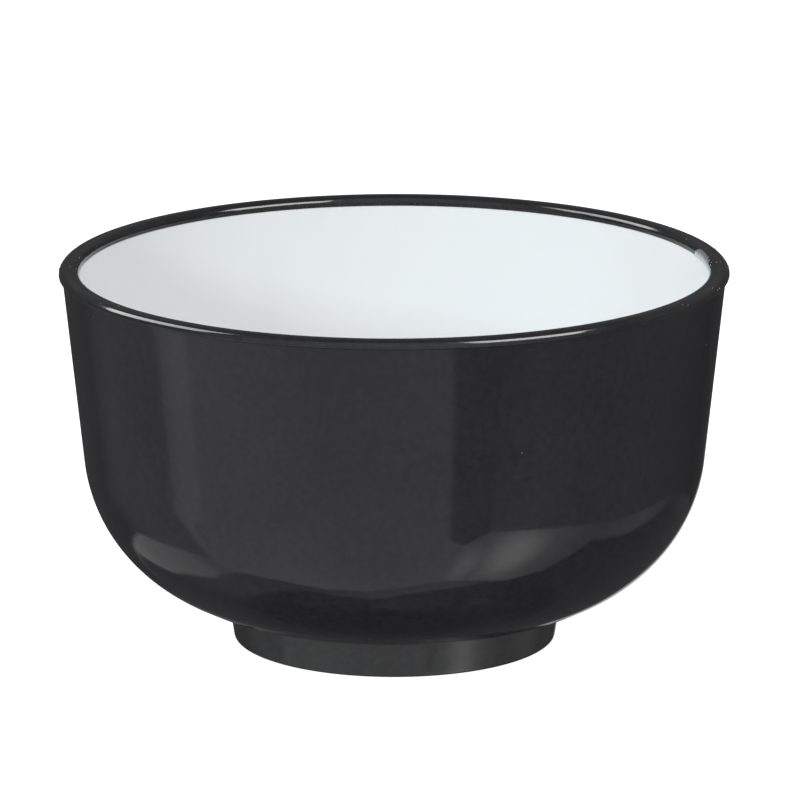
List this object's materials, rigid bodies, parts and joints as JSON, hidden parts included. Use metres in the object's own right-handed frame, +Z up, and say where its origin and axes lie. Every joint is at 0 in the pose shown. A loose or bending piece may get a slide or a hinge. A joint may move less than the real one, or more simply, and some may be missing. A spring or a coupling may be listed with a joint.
{
  "type": "hair color mixing bowl",
  "caption": "Round hair color mixing bowl with a glossy black outer shell, a white inner liner, a bead rim and a foot ring.",
  "frame": {"origin": "on the bowl's axis, in the plane that the foot ring stands on", "axes": "+Z up along the axis of revolution; +X to the viewer's right and +Y away from the viewer, which are free choices on a round part"},
  "size_m": [0.13, 0.13, 0.0745],
  "materials": {
    "gloss_black": "polished black injection moulding",
    "liner_white": "soft-gloss cool white injection moulding",
    "rim_black": "polished black bead",
    "foot_black": "black, slightly softer gloss than the shell"
  },
  "bodies": {
    "root": {"outer_shell": "gloss_black", "inner_liner": "liner_white", "rim_ring": "rim_black", "foot_ring": "foot_black"}
  },
  "joints": []
}
